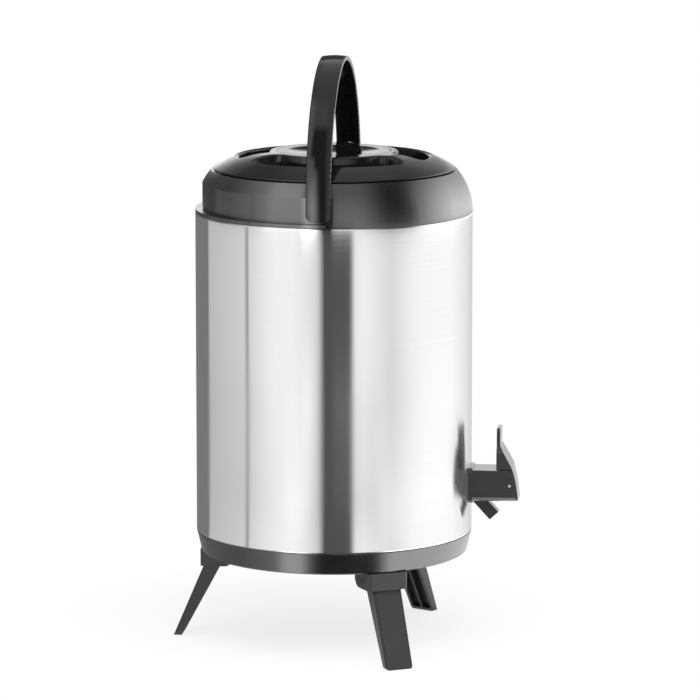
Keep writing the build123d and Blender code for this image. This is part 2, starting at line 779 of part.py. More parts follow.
with BuildPart() as lid_shell:
    with BuildSketch(Plane.XZ):
        with BuildLine():
            dome_foot = Line((0, lid_rim), (shoulder_radius_at(lid_rim, 0), lid_rim))
            dome_side = RadiusArc(dome_foot @ 1, (plateau_radius, lid_top), -lid_dome_radius)
            dome_top = Line(dome_side @ 1, (0, lid_top))
            Line(dome_top @ 1, dome_foot @ 0)
        make_face()
        rim_edge = vertices().group_by(Axis.Y)[0].sort_by(Axis.X)[-1]
        fillet(rim_edge, lid_edge_round)
    revolve(axis=Axis.Z)
    with BuildSketch(Plane.XY.offset(lid_top)):
        Circle(cap_radius + seat_gap)
    extrude(amount=-cap_thickness, mode=Mode.SUBTRACT)
    for angle in pocket_angles:
        with BuildSketch(Plane.XY.offset(lid_top).rotated((0, 0, angle))):
            with BuildLine():
                hub_arc = CenterArc((0, 0), hub_radius, -pocket_spread / 2, pocket_spread)
                rim_arc = CenterArc((0, 0), pocket_outer_radius, -pocket_spread / 2, pocket_spread)
                Line(hub_arc @ 0, rim_arc @ 0)
                Line(hub_arc @ 1, rim_arc @ 1)
            make_face()
            fillet(vertices(), pocket_corner)
        extrude(amount=-pocket_depth, taper=pocket_draft, mode=Mode.SUBTRACT)
    with BuildSketch(Plane.XY.offset(lid_rim)):
        Circle(floor_radius)
    extrude(amount=lid_floor_thickness, mode=Mode.SUBTRACT)
    chamfer(edges().filter_by(on_pocket_rim), pocket_rim_bevel)
    with BuildSketch(Plane.XZ):
        hub_bottom = lid_top - cap_thickness - hub_roof
        with Locations((0, pocket_level)):
            Rectangle(
                hub_radius - shoulder_wall,
                hub_bottom - pocket_level,
                align=(Align.MIN, Align.MIN),
            )
        with BuildLine():
            hollow_side = pocket_outer_radius + shoulder_wall
            hollow_top = dome_level_at(hollow_side, shoulder_wall)
            hollow_foot = plateau_radius + dome_run(lid_rim, shoulder_wall)
            inner_line = Line((hollow_side, lid_rim), (hollow_side, hollow_top))
            hollow_arc = RadiusArc(inner_line @ 1, (hollow_foot, lid_rim), lid_dome_radius - shoulder_wall)
            Line(hollow_arc @ 1, inner_line @ 0)
        make_face()
        with Locations((weld_inner, lid_rim)):
            Rectangle(plug_wall, shoulder_radius, align=(Align.MIN, Align.MIN), mode=Mode.SUBTRACT)
    revolve(axis=Axis.Z, mode=Mode.SUBTRACT)
lid_shell.part.label = "lid_shell"
export_step(lid_shell.part, "parts/lid_shell.step")

# Lid floor: the disc under the dome that closes the finger pockets
with BuildPart() as lid_floor:
    with BuildSketch(Plane.XY.offset(lid_rim)):
        Circle(floor_radius - seat_gap)
    extrude(amount=lid_floor_thickness)
lid_floor.part.label = "lid_floor"
export_step(lid_floor.part, "parts/lid_floor.step")

# Lid cap: a dished disc set flush into the hub
with BuildPart() as lid_cap:
    with BuildSketch(Plane.XZ):
        with BuildLine():
            cap_foot = Line((0, lid_top - cap_thickness), (cap_radius, lid_top - cap_thickness))
            cap_side = Line(cap_foot @ 1, (cap_radius, lid_top))
            cap_land = Line(cap_side @ 1, (dish_radius, lid_top))
            dish_sphere = (dish_radius**2 + dish_depth**2) / (2 * dish_depth)
            dish_arc = RadiusArc(cap_land @ 1, (0, lid_top - dish_depth), dish_sphere)
            Line(dish_arc @ 1, cap_foot @ 0)
        make_face()
        fillet(vertices().group_by(Axis.Y)[-1], dish_round)
    revolve(axis=Axis.Z)
lid_cap.part.label = "lid_cap"
export_step(lid_cap.part, "parts/lid_cap.step")

# Lid liner: the plug welded under the shell, stepped to hold the gasket
plug_neck = vessel_radius - plug_neck_gap
plug_bottom = neck_level - plug_lip
plug_shoulder = neck_level + gasket_height
with BuildPart() as lid_liner:
    with BuildSketch(Plane.XZ):
        with BuildLine():
            Polyline(
                (0, plug_bottom),
                (plug_neck, plug_bottom),
                (plug_neck, plug_shoulder),
                (weld_outer, plug_shoulder),
                (weld_outer, lid_rim),
                (weld_inner, lid_rim),
                (weld_inner, plug_shoulder + plug_wall),
                (plug_neck - plug_wall, plug_shoulder + plug_wall),
                (plug_neck - plug_wall, plug_bottom + plug_floor),
                (0, plug_bottom + plug_floor),
                close=True,
            )
        make_face()
    revolve(axis=Axis.Z)
lid_liner.part.label = "lid_liner"
export_step(lid_liner.part, "parts/lid_liner.step")

# Lid foam: the insulation inside the plug
with BuildPart() as lid_foam:
    with BuildSketch(Plane.XZ):
        with BuildLine():
            Polyline(
                (0, plug_bottom + plug_floor + seat_gap),
                (plug_neck - plug_wall - seat_gap, plug_bottom + plug_floor + seat_gap),
                (plug_neck - plug_wall - seat_gap, plug_shoulder + plug_wall + seat_gap),
                (weld_inner - seat_gap, plug_shoulder + plug_wall + seat_gap),
                (weld_inner - seat_gap, lid_rim - seat_gap),
                (0, lid_rim - seat_gap),
                close=True,
            )
        make_face()
    revolve(axis=Axis.Z)
lid_foam.part.label = "lid_foam"
export_step(lid_foam.part, "parts/lid_foam.step")

# Lid gasket: the flat ring that seals the plug on the vessel's rim
gasket_bore = plug_neck + gasket_gap
with BuildPart() as lid_gasket:
    with BuildSketch(Plane.XY.offset(neck_level)):
        Circle(gasket_bore + gasket_width)
        Circle(gasket_bore, mode=Mode.SUBTRACT)
    extrude(amount=gasket_height)
lid_gasket.part.label = "lid_gasket"
export_step(lid_gasket.part, "parts/lid_gasket.step")

# Tap flange: the rounded plate between the jacket and the tap's body
with BuildPart() as tap_flange:
    with BuildSketch(Plane.XZ.offset(tap_back)):
        with Locations((0, (tap_top + tap_bottom) / 2)):
            RectangleRounded(tap_flange_width, tap_flange_height, tap_flange_corner)
        with Locations((0, stem_level)):
            Circle(shank_radius + running_gap, mode=Mode.SUBTRACT)
    extrude(amount=math.sqrt(barrel_radius**2 - tap_flange_width**2 / 4) - tap_back)
    with BuildSketch(Plane.XY.offset(steel_bottom)):
        Circle(barrel_radius + running_gap)
    extrude(amount=shell_height, mode=Mode.SUBTRACT)
tap_flange.part.label = "tap_flange"
export_step(tap_flange.part, "parts/tap_flange.step")

# Tap body: a block with a square spout and a socket for the shank
spout_run = math.cos(math.radians(spout_angle))
spout_fall = math.sin(math.radians(spout_angle))
spout_plane = Plane(
    origin=(0, -spout_end_reach, lever_pin_height - spout_end_drop),
    x_dir=(1, 0, 0),
    z_dir=(0, spout_run, spout_fall),
)
cheek_inner = tap_width / 2 - cheek_wall
with BuildPart() as tap_body:
    with BuildSketch(Plane.YZ):
        with BuildLine():
            Polyline(
                (-tap_back, tap_bottom),
                (-lever_pin_reach - tap_front_bottom, tap_bottom),
                (-lever_pin_reach - tap_front_top, tap_top),
                (-tap_back, tap_top),
                close=True,
            )
        make_face()
    extrude(amount=tap_width / 2, both=True)
    long_edges = edges().filter_by(Axis.Y).group_by(Axis.Z)
    fillet(long_edges[0], tap_bottom_round)
    fillet(edges().filter_by(Axis.Y).group_by(Axis.Z)[-1], tap_edge_round)
    with BuildSketch(spout_plane):
        Rectangle(spout_width, spout_height)
    extrude(amount=spout_length)
    with BuildSketch(Plane.XZ.offset(tap_back)):
        with Locations((0, stem_level)):
            Rectangle(2 * tap_width, 4 * tap_width)
    extrude(amount=-tap_width, mode=Mode.SUBTRACT)
    with BuildSketch(Plane.XZ.offset(tap_back)):
        with Locations((0, stem_level)):
            Circle(shank_radius + seat_gap)
    extrude(amount=shank_seat, mode=Mode.SUBTRACT)
    with BuildSketch(Plane.XZ.offset(tap_back)):
        with Locations((0, stem_level)):
            Circle(chamber_radius)
    extrude(amount=chamber_depth, mode=Mode.SUBTRACT)
    with BuildSketch(Plane.XZ.offset(chamber_end)):
        with Locations((0, stem_level)):
            Circle(stem_radius + running_gap)
    extrude(amount=cavity_back - chamber_end, mode=Mode.SUBTRACT)
    with BuildSketch(Plane.XZ.offset(oring_seat)):
        with Locations((0, stem_level)):
            Circle(stem_radius + cavity_back - oring_seat)
    extrude(amount=cavity_back - oring_seat, mode=Mode.SUBTRACT)
    with BuildSketch(spout_plane):
        Circle(spout_bore)
    extrude(amount=spout_bore_length, mode=Mode.SUBTRACT)
    with BuildSketch(Plane.YZ):
        with BuildLine():
            cavity_front = -lever_pin_reach - 2 * tap_front_bottom
            Polyline(
                (-cavity_back, tap_bottom + cavity_floor),
                (-tap_back - cavity_floor_reach, tap_bottom + cavity_floor),
                (-tap_back - cavity_floor_reach, tap_bottom - cavity_floor),
                (cavity_front, tap_bottom - cavity_floor),
                (cavity_front, tap_top + cavity_roof),
                (-tap_back - cavity_roof_reach, tap_top + cavity_roof),
                (-tap_back - cavity_roof_reach, tap_top - cavity_roof),
                (-cavity_back, tap_top - cavity_roof),
                close=True,
            )
        make_face()
    extrude(amount=cheek_inner, both=True, mode=Mode.SUBTRACT)
    with BuildSketch(Plane.YZ):
        with Locations((-lever_pin_reach, lever_pin_height)):
            Circle(lever_pin_radius + running_gap)
    extrude(amount=tap_width, both=True, mode=Mode.SUBTRACT)
tap_body.part.label = "tap_body"
export_step(tap_body.part, "parts/tap_body.step")

# Tap shank: the tube through both walls, screwed into the tap's body
with BuildPart() as tap_shank:
    with BuildSketch(Plane.XZ.offset(shank_end)):
        with Locations((0, stem_level)):
            Circle(shank_radius)
            Circle(shank_bore, mode=Mode.SUBTRACT)
    extrude(amount=tap_back + shank_seat - shank_end)
tap_shank.part.label = "tap_shank"
export_step(tap_shank.part, "parts/tap_shank.step")

# Tap washer and nut: clamp the shank from inside the vessel
washer_face = math.sqrt(vessel_radius**2 - inner_washer_radius**2) - inner_washer_thickness
with BuildPart() as tap_washer:
    with BuildSketch(Plane.XZ.offset(washer_face)):
        with Locations((0, stem_level)):
            Circle(inner_washer_radius)
            Circle(shank_radius + running_gap, mode=Mode.SUBTRACT)
    extrude(amount=vessel_radius - washer_face)
    with BuildSketch(Plane.XY.offset(stem_level - 2 * inner_washer_radius)):
        Circle(vessel_radius - running_gap)
    extrude(amount=4 * inner_washer_radius, mode=Mode.INTERSECT)
tap_washer.part.label = "tap_washer"
export_step(tap_washer.part, "parts/tap_washer.step")

with BuildPart() as tap_nut:
    with BuildSketch(Plane.XZ.offset(washer_face)):
        with Locations((0, stem_level)):
            RegularPolygon(nut_width / 2, nut_sides, major_radius=False)
            Circle(shank_radius + running_gap, mode=Mode.SUBTRACT)
    extrude(amount=-nut_thickness)
tap_nut.part.label = "tap_nut"
export_step(tap_nut.part, "parts/tap_nut.step")

# Tap lever: a tall thumb tab over a wedge that rests on the body, hung on its pin
lever_top = lever_pin_height + lever_height
lever_rest = tap_top + lever_rest_gap
tab_level = lever_top - tab_height
lever_rear = -lever_pin_reach + lever_back
lever_shoulder = -lever_pin_reach - lever_shoulder_out
lever_belly = -lever_pin_reach - lever_belly_out
lever_foot = -lever_pin_reach - lever_bottom_out
lever_foot_level = lever_pin_height - lever_plate_end
with BuildPart() as tap_lever:
    with BuildSketch(Plane.YZ):
        with BuildLine():
            lever_front = Polyline(
                (lever_rear, lever_rest),
                (lever_rear, lever_top),
                (lever_rear - tab_thickness, lever_top),
                (lever_rear - tab_thickness, tab_level),
                (lever_shoulder, lever_pin_height + lever_shoulder_rise),
            )
            belly = ThreePointArc(
                lever_front @ 1,
                (lever_belly, lever_pin_height + lever_belly_rise),
                (lever_foot, lever_foot_level),
            )
            lever_end = Line(belly @ 1, (lever_foot + lever_plate, lever_foot_level))
            inner_belly = ThreePointArc(
                lever_end @ 1,
                (lever_belly + lever_plate, lever_pin_height + lever_belly_rise),
                (lever_shoulder + lever_plate, lever_rest),
            )
            Line(inner_belly @ 1, lever_front @ 0)
        make_face()
    extrude(amount=tap_width / 2, both=True)
    with BuildSketch(Plane.XZ):
        with BuildLine():
            Polyline(
                (-lever_plate_width / 2, lever_foot_level),
                (lever_plate_width / 2, lever_foot_level),
                (lever_plate_width / 2, lever_rest),
                (tap_width / 2, lever_rest),
                (tap_width / 2, tab_level - tab_flare),
                (tab_width / 2, tab_level),
                (tab_width / 2, lever_top),
                (-tab_width / 2, lever_top),
                (-tab_width / 2, tab_level),
                (-tap_width / 2, tab_level - tab_flare),
                (-tap_width / 2, lever_rest),
                (-lever_plate_width / 2, lever_rest),
                close=True,
            )
        make_face()
        fillet(vertices().group_by(Axis.Y)[-1], tab_corner)
    extrude(amount=2 * lever_pin_reach, mode=Mode.INTERSECT)
    with BuildSketch(Plane.YZ):
        with Locations((-lever_pin_reach, lever_pin_height)):
            Circle(lever_boss_radius)
        with Locations((-lever_pin_reach, stem_level)):
            Circle(lever_nose_radius)
        with BuildLine():
            Polyline(
                (lever_belly + lever_plate / 2, lever_pin_height),
                (lever_foot + lever_plate / 2, stem_level),
                (-lever_pin_reach, stem_level - lever_nose_radius),
                (-lever_pin_reach + lever_nose_radius, stem_level),
                (-lever_pin_reach + lever_nose_radius, lever_pin_height),
                close=True,
            )
        make_face()
    extrude(amount=lever_rib / 2, both=True)
    with BuildSketch(Plane.YZ):
        with Locations((-lever_pin_reach, lever_pin_height)):
            Circle(lever_boss_radius)
    extrude(amount=lever_plate_width / 2, both=True)
    with BuildSketch(Plane.YZ):
        with Locations((-lever_pin_reach, lever_pin_height)):
            Circle(lever_pin_radius + running_gap)
    extrude(amount=tap_width, both=True, mode=Mode.SUBTRACT)
tap_lever.part.label = "tap_lever"
export_step(tap_lever.part, "parts/tap_lever.step")

with BuildPart() as lever_pin:
    with BuildSketch(Plane.YZ):
        with Locations((-lever_pin_reach, lever_pin_height)):
            Circle(lever_pin_radius)
    extrude(amount=tap_width / 2, both=True)
lever_pin.part.label = "lever_pin"
export_step(lever_pin.part, "parts/lever_pin.step")

# Valve: stem through the gland, seal behind the shank, and the spring that shuts it
seal_back = shank_end - seal_thickness
stem_back = seal_back - stem_head_thickness
with BuildPart() as valve_stem:
    with BuildSketch(Plane.XZ.offset(stem_end)):
        with Locations((0, stem_level)):
            Circle(stem_radius)
    extrude(amount=-(stem_end - stem_back))
    with BuildSketch(Plane.XZ.offset(stem_flange)):
        with Locations((0, stem_level)):
            Circle(stem_flange_radius)
    extrude(amount=stem_flange_thickness)
    with BuildSketch(Plane.XZ.offset(stem_back)):
        with Locations((0, stem_level)):
            Circle(stem_head_radius)
    extrude(amount=stem_head_thickness)
    with BuildSketch(Plane.XZ.offset(shank_end + fin_setback)):
        with Locations((0, stem_level)):
            with PolarLocations(0, fin_count, start_angle=90):
                fin_reach = shank_bore - 2 * running_gap
                Rectangle(fin_reach, fin_thickness, align=(Align.MIN, Align.CENTER))
    extrude(amount=fin_length)
valve_stem.part.label = "valve_stem"
export_step(valve_stem.part, "parts/valve_stem.step")

with BuildPart() as valve_seal:
    with BuildSketch(Plane.XZ.offset(seal_back)):
        with Locations((0, stem_level)):
            Circle(seal_radius)
            Circle(stem_radius + running_gap, mode=Mode.SUBTRACT)
    extrude(amount=seal_thickness)
valve_seal.part.label = "valve_seal"
export_step(valve_seal.part, "parts/valve_seal.step")

oring_space = oring_wire + running_gap
with BuildPart() as stem_oring:
    with BuildSketch(Plane.YZ):
        with Locations((-oring_seat - oring_space, stem_level + stem_radius + oring_space)):
            Circle(oring_wire)
    revolve(axis=Axis((0, 0, stem_level), (0, 1, 0)))
stem_oring.part.label = "stem_oring"
export_step(stem_oring.part, "parts/stem_oring.step")

with BuildPart() as gland_washer:
    with BuildSketch(Plane.XZ.offset(cavity_back)):
        with Locations((0, stem_level)):
            Circle(stem_flange_radius)
            Circle(stem_radius + running_gap, mode=Mode.SUBTRACT)
    extrude(amount=gland_washer_thickness)
gland_washer.part.label = "gland_washer"
export_step(gland_washer.part, "parts/gland_washer.step")

with BuildPart() as valve_spring:
    spring_start = -spring_back - spring_wire
    spring_length = stem_flange - spring_back - 2 * spring_wire
    with BuildLine() as spring_path:
        Helix(
            spring_length / spring_turns,
            spring_length,
            spring_radius,
            center=(0, spring_start, stem_level),
            direction=(0, -1, 0),
        )
    spring_line = spring_path.edges()[0]
    with BuildSketch(Plane(origin=spring_line @ 0, z_dir=spring_line % 0)):
        RegularPolygon(spring_wire, spring_wire_sides)
    sweep(path=spring_line, is_frenet=True)
valve_spring.part.label = "valve_spring"
export_step(valve_spring.part, "parts/valve_spring.step")
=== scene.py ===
import json
import math

import bmesh
import bpy
from mathutils import Matrix, Vector


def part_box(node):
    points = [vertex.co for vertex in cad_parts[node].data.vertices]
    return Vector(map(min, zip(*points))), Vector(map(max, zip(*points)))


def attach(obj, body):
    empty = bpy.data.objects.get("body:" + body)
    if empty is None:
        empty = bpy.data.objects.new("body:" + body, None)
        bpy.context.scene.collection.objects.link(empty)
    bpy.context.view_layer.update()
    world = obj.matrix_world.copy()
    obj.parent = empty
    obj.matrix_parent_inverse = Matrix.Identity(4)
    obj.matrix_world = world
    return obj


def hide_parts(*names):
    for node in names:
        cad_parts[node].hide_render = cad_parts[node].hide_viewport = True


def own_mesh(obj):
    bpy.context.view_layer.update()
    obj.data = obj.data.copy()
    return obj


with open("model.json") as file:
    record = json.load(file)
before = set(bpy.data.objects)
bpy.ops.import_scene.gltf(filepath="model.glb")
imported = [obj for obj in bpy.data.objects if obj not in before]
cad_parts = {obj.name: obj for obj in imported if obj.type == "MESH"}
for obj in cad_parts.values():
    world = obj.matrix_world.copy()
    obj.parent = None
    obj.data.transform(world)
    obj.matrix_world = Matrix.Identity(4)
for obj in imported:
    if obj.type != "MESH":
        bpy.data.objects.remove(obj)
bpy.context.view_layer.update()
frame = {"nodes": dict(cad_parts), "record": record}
nodes = frame["nodes"]
behaviour = frame["record"]["behaviour"]

# A flat cover closes the base, screwed up inside the band under the jacket.
# It is moulded in black plastic with a fine satin grain.
noise_low = 0.3
noise_high = 0.7


class Wiring:
    """The nodes of a material or of the room, with short ways to add and to join them."""

    def __init__(self, owner):
        owner.use_nodes = True
        self.nodes = owner.node_tree.nodes
        self.links = owner.node_tree.links

    def add(self, kind, **values):
        """Adds a node, with its sockets and its settings given by name."""
        node = self.nodes.new(kind)
        for name, value in values.items():
            if name in node.inputs:
                node.inputs[name].default_value = value
            else:
                setattr(node, name, value)
        return node

    def join(self, source, target):
        """Joins an output to an input."""
        self.links.new(source, target)

    def place(self):
        """Coordinates that stay with the piece."""
        return self.add("ShaderNodeTexCoord").outputs["Object"]

    def carry(self, value, source, target, **settings):
        """Carries a value from one range onto another."""
        node = self.add("ShaderNodeMapRange", **settings)
        for name, end in zip(("From Min", "From Max", "To Min", "To Max"), (*source, *target)):
            node.inputs[name].default_value = end
        self.join(value, node.inputs["Value"])
        return node.outputs["Result"]


class Finish(Wiring):
    """A material whose colour, roughness and relief follow noises in the piece's own coordinates."""

    def __init__(self, name):
        self.material = bpy.data.materials.new(name)
        super().__init__(self.material)
        self.shader = self.nodes["Principled BSDF"]
        self.surface = self.nodes["Material Output"].inputs["Surface"]

    def set_socket(self, name, value):
        """Sets a value that is the same all over the surface."""
        self.shader.inputs[name].default_value = value

    def grain(self, scale, detail, stretch=(1, 1, 1)):
        """A noise, drawn finer along X, Y or Z by its stretch."""
        mapping = self.add("ShaderNodeMapping", Scale=stretch)
        noise = self.add("ShaderNodeTexNoise", Scale=scale, Detail=detail)
        self.join(self.place(), mapping.inputs["Vector"])
        self.join(mapping.outputs["Vector"], noise.inputs["Vector"])
        return noise.outputs["Fac"]

    def spread(self, noise, low, high):
        """Carries the middle of a noise onto a range of values."""
        return self.carry(noise, (noise_low, noise_high), (low, high))

    def colour(self, noise, dark, light):
        """Mixes the colour of two shades by a noise."""
        mix = self.add("ShaderNodeMix", data_type="RGBA")
        mix.inputs["A"].default_value = (*dark, 1)
        mix.inputs["B"].default_value = (*light, 1)
        self.join(noise, mix.inputs["Factor"])
        self.join(mix.outputs["Result"], self.shader.inputs["Base Color"])

    def roughness(self, noise, low, high):
        """Varies the roughness by a noise."""
        self.join(self.spread(noise, low, high), self.shader.inputs["Roughness"])

    def emboss(self, noise, strength, height):
        """Raises a noise on the surface as a bump."""
        bump = self.add("ShaderNodeBump", Strength=strength, Distance=height)
        self.join(noise, bump.inputs["Height"])
        self.join(bump.outputs["Normal"], self.shader.inputs["Normal"])


def dress(finish, *names):
    """Gives a finish to whole CAD nodes."""
    for name in names:
        slots = nodes[name].data.materials
        slots.clear()
        slots.append(finish.material)


satin_black = Finish("satin_black_plastic")
patches = satin_black.grain(scale=35, detail=3)
pores = satin_black.grain(scale=1400, detail=2)
satin_black.colour(patches, dark=(0.030, 0.030, 0.031), light=(0.041, 0.041, 0.043))
satin_black.roughness(pores, low=0.30, high=0.42)
satin_black.emboss(pores, strength=0.10, height=0.0002)
dress(satin_black, "base_plate")

# Six screws hold the cover in pairs between the legs, and two hold each leg's housing.
# They are pan-head screws of plated steel, with a cross recess.
sharp_angle = math.radians(35)
head_radius = 0.0034
head_height = 0.0018
head_segments = 28
face_share = 0.72
crown_share = 0.45
cross_width = 0.0008
cross_reach = 0.0017
cross_depth = 0.0012
cross_taper = 0.55
shank_radius = 0.0017
shank_length = 0.0055
tip_share = 0.15
leg_angles = (90, 210, 330)
between_legs = 60
base_screw_reach = 0.120
base_screw_spread = 40
bracket_screw_reach = 0.106
bracket_screw_aside = 0.009

steel_bits = Finish("plated_steel")
steel_bits.set_socket("Metallic", 1)
scuffs = steel_bits.grain(scale=600, detail=3)
steel_bits.colour(scuffs, dark=(0.50, 0.50, 0.49), light=(0.62, 0.62, 0.61))
steel_bits.roughness(scuffs, low=0.24, high=0.40)


def settle(shape, name, finish, body):
    """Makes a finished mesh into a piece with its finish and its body."""
    bmesh.ops.recalc_face_normals(shape, faces=shape.faces)
    for face in shape.faces:
        face.smooth = True
    for edge in shape.edges:
        edge.smooth = edge.calc_face_angle(0) < sharp_angle
    data = bpy.data.meshes.new(name)
    shape.to_mesh(data)
    shape.free()
    data.materials.append(finish.material)
    piece = bpy.data.objects.new(name, data)
    bpy.context.collection.objects.link(piece)
    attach(piece, body)
    return piece


def ring_of(shape, points):
    """The edges that run between some points."""
    ends = set(points)
    return [edge for edge in shape.edges if edge.verts[0] in ends and edge.verts[1] in ends]


def closed_line(shape, points):
    """Edges from each point to the next and back to the first."""
    return [shape.edges.new(pair) for pair in zip(points, points[1:] + points[:1])]


def draw_ring(shape, ring, share, lift):
    """Draws a ring of edges on, to a share of its width and up by a lift, and gives the new ring."""
    drawn = bmesh.ops.extrude_edge_only(shape, edges=ring)["geom"]
    points = [item for item in drawn if isinstance(item, bmesh.types.BMVert)]
    bmesh.ops.scale(shape, vec=(share, share, 1), verts=points)
    bmesh.ops.translate(shape, vec=(0, 0, lift), verts=points)
    return ring_of(shape, points)


def cross_head_screw(shape):
    """A pan-head screw at the origin, its head below the level of its seat and its shank above."""
    face_radius = head_radius * face_share
    rim = bmesh.ops.create_circle(shape, segments=head_segments, radius=face_radius)["verts"]
    rim_ring = ring_of(shape, rim)
    corner = cross_width / 2
    cross = []
    for turn in range(4):
        for x, y in [(corner, corner), (corner, cross_reach), (-corner, cross_reach)]:
            spot = Matrix.Rotation(turn * math.tau / 4, 3, "Z") @ Vector((x, y, 0))
            cross.append(shape.verts.new(spot))
    cross_ring = closed_line(shape, cross)
    bmesh.ops.triangle_fill(shape, use_beauty=True, edges=rim_ring + cross_ring)
    bmesh.ops.translate(shape, vec=(0, 0, -head_height), verts=rim + cross)
    well = draw_ring(shape, cross_ring, cross_taper, cross_depth)
    bmesh.ops.edgeloop_fill(shape, edges=well)
    shoulder = draw_ring(shape, rim_ring, 1 / face_share, head_height * crown_share)
    seat = draw_ring(shape, shoulder, 1, head_height * (1 - crown_share))
    neck = draw_ring(shape, seat, shank_radius / head_radius, 0)
    shank = draw_ring(shape, neck, 1, shank_length - shank_radius)
    tip = draw_ring(shape, shank, tip_share, shank_radius)
    bmesh.ops.edgeloop_fill(shape, edges=tip)


def screw_set(name, node, places):
    """Cross-head screws at some places, in place of a node of plain ones."""
    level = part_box(node)[0][2] + head_height
    shape = bmesh.new()
    for x, y in places:
        known = set(shape.verts)
        cross_head_screw(shape)
        fresh = [point for point in shape.verts if point not in known]
        bmesh.ops.translate(shape, vec=(x, y, level), verts=fresh)
    piece = settle(shape, name, steel_bits, "barrel")
    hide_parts(node)


def round_the_axis(reach, angle):
    """A point at a reach from the barrel's axis, with the angle in degrees from +X."""
    return reach * math.cos(math.radians(angle)), reach * math.sin(math.radians(angle))


base_places = []
bracket_places = []
bracket_slant = math.hypot(bracket_screw_reach, bracket_screw_aside)
bracket_angle = math.degrees(math.atan2(bracket_screw_aside, bracket_screw_reach))
for leg_angle in leg_angles:
    for side in (-1, 1):
        base_angle = leg_angle + between_legs + side * base_screw_spread / 2
        base_places.append(round_the_axis(base_screw_reach, base_angle))
        bracket_places.append(round_the_axis(bracket_slant, leg_angle + side * bracket_angle))
screw_set("cross_base_screws", "base_screws", base_places)
screw_set("cross_bracket_screws", "bracket_screws", bracket_places)

# Three legs fold on blackened steel pins in U-shaped housings under the cover.
# Each leg is a moulded channel, open towards the middle, with a rib down it.
dark_steel = Finish("blackened_steel")
dark_steel.set_socket("Metallic", 1)
oxide = dark_steel.grain(scale=500, detail=3)
dark_steel.colour(oxide, dark=(0.045, 0.045, 0.047), light=(0.075, 0.075, 0.078))
dark_steel.roughness(oxide, low=0.35, high=0.5)
for side in ("rear", "left", "right"):
    dress(satin_black, f"leg_bracket_{side}", f"leg_{side}")
    dress(dark_steel, f"leg_pin_{side}")

# The drink stands in a drawn steel vessel, with poured foam between it and the jacket.
# The vessel is polished inside, and the foam is pale and full of fine cells.
vessel_steel = Finish("polished_vessel_steel")
vessel_steel.set_socket("Metallic", 1)
rubbed = vessel_steel.grain(scale=220, detail=4, stretch=(1, 1, 0.2))
vessel_steel.colour(rubbed, dark=(0.66, 0.66, 0.65), light=(0.78, 0.78, 0.77))
vessel_steel.roughness(rubbed, low=0.20, high=0.32)
dress(vessel_steel, "inner_vessel")

poured_foam = Finish("poured_foam")
poured_foam.set_socket("Roughness", 0.9)
cells = poured_foam.grain(scale=900, detail=4)
poured_foam.colour(cells, dark=(0.72, 0.62, 0.40), light=(0.86, 0.79, 0.58))
poured_foam.emboss(cells, strength=0.5, height=0.0006)
dress(poured_foam, "foam_jacket", "lid_foam")

# The jacket is a sheet of satin steel, rolled round the barrel, with both edges turned in as hems.
# It is brushed round, more coarsely beside the tap, so bright and dark bands stand upright in it.
# A hole for the tap's shank is cut through it.
sheet = 0.0008
hem = 0.006
hem_bend = 0.0014
bend_steps = 6
bend_guard = 0.0004
jacket_segments = 180
under_flange = 0.003
hole_clearance = 0.0005
hole_segments = 48
merge_distance = 0.000005
brush_turn = 0.25
coarser_at_heights = [(0.10, 0.0), (0.16, 0.14), (0.25, 0.14), (0.35, 0.0)]


def ramp(wiring, value, stops):
    """Greys at some stops of a value, with an even change between them."""
    node = wiring.add("ShaderNodeValToRGB")
    wiring.join(value, node.inputs["Fac"])
    elements = node.color_ramp.elements
    while len(elements) < len(stops):
        elements.new(1)
    for element, (position, grey) in zip(elements, stops):
        element.position = position
        element.color = (grey, grey, grey, 1)
    return node.outputs["Color"]


def brush_round(finish, strength):
    """Brushes a finish round the barrel, so that it draws highlights upright."""
    finish.set_socket("Anisotropic", strength)
    finish.set_socket("Anisotropic Rotation", brush_turn)
    around = finish.add("ShaderNodeTangent", direction_type="RADIAL", axis="Z")
    finish.join(around.outputs["Tangent"], finish.shader.inputs["Tangent"])


brushed_steel = Finish("brushed_jacket_steel")
brushed_steel.set_socket("Metallic", 1)
brush_round(brushed_steel, strength=1)
strokes = brushed_steel.grain(scale=6, detail=4, stretch=(1, 1, 420))
brushed_steel.colour(strokes, dark=(0.80, 0.80, 0.795), light=(0.86, 0.86, 0.855))
axes = brushed_steel.add("ShaderNodeSeparateXYZ")
brushed_steel.join(brushed_steel.place(), axes.inputs["Vector"])
coarse = brushed_steel.add("ShaderNodeMath", operation="ADD")
brushed_steel.join(brushed_steel.spread(strokes, low=0.04, high=0.07), coarse.inputs[0])
brushed_steel.join(ramp(brushed_steel, axes.outputs["Z"], coarser_at_heights), coarse.inputs[1])
brushed_steel.join(coarse.outputs["Value"], brushed_steel.shader.inputs["Roughness"])


def spin_round(shape, geometry, axis, steps):
    """Spins a line a whole turn about an axis through the origin."""
    bmesh.ops.spin(
        shape,
        geom=geometry,
        cent=(0, 0, 0),
        axis=axis,
        angle=math.tau,
        steps=steps,
        use_merge=True,
    )


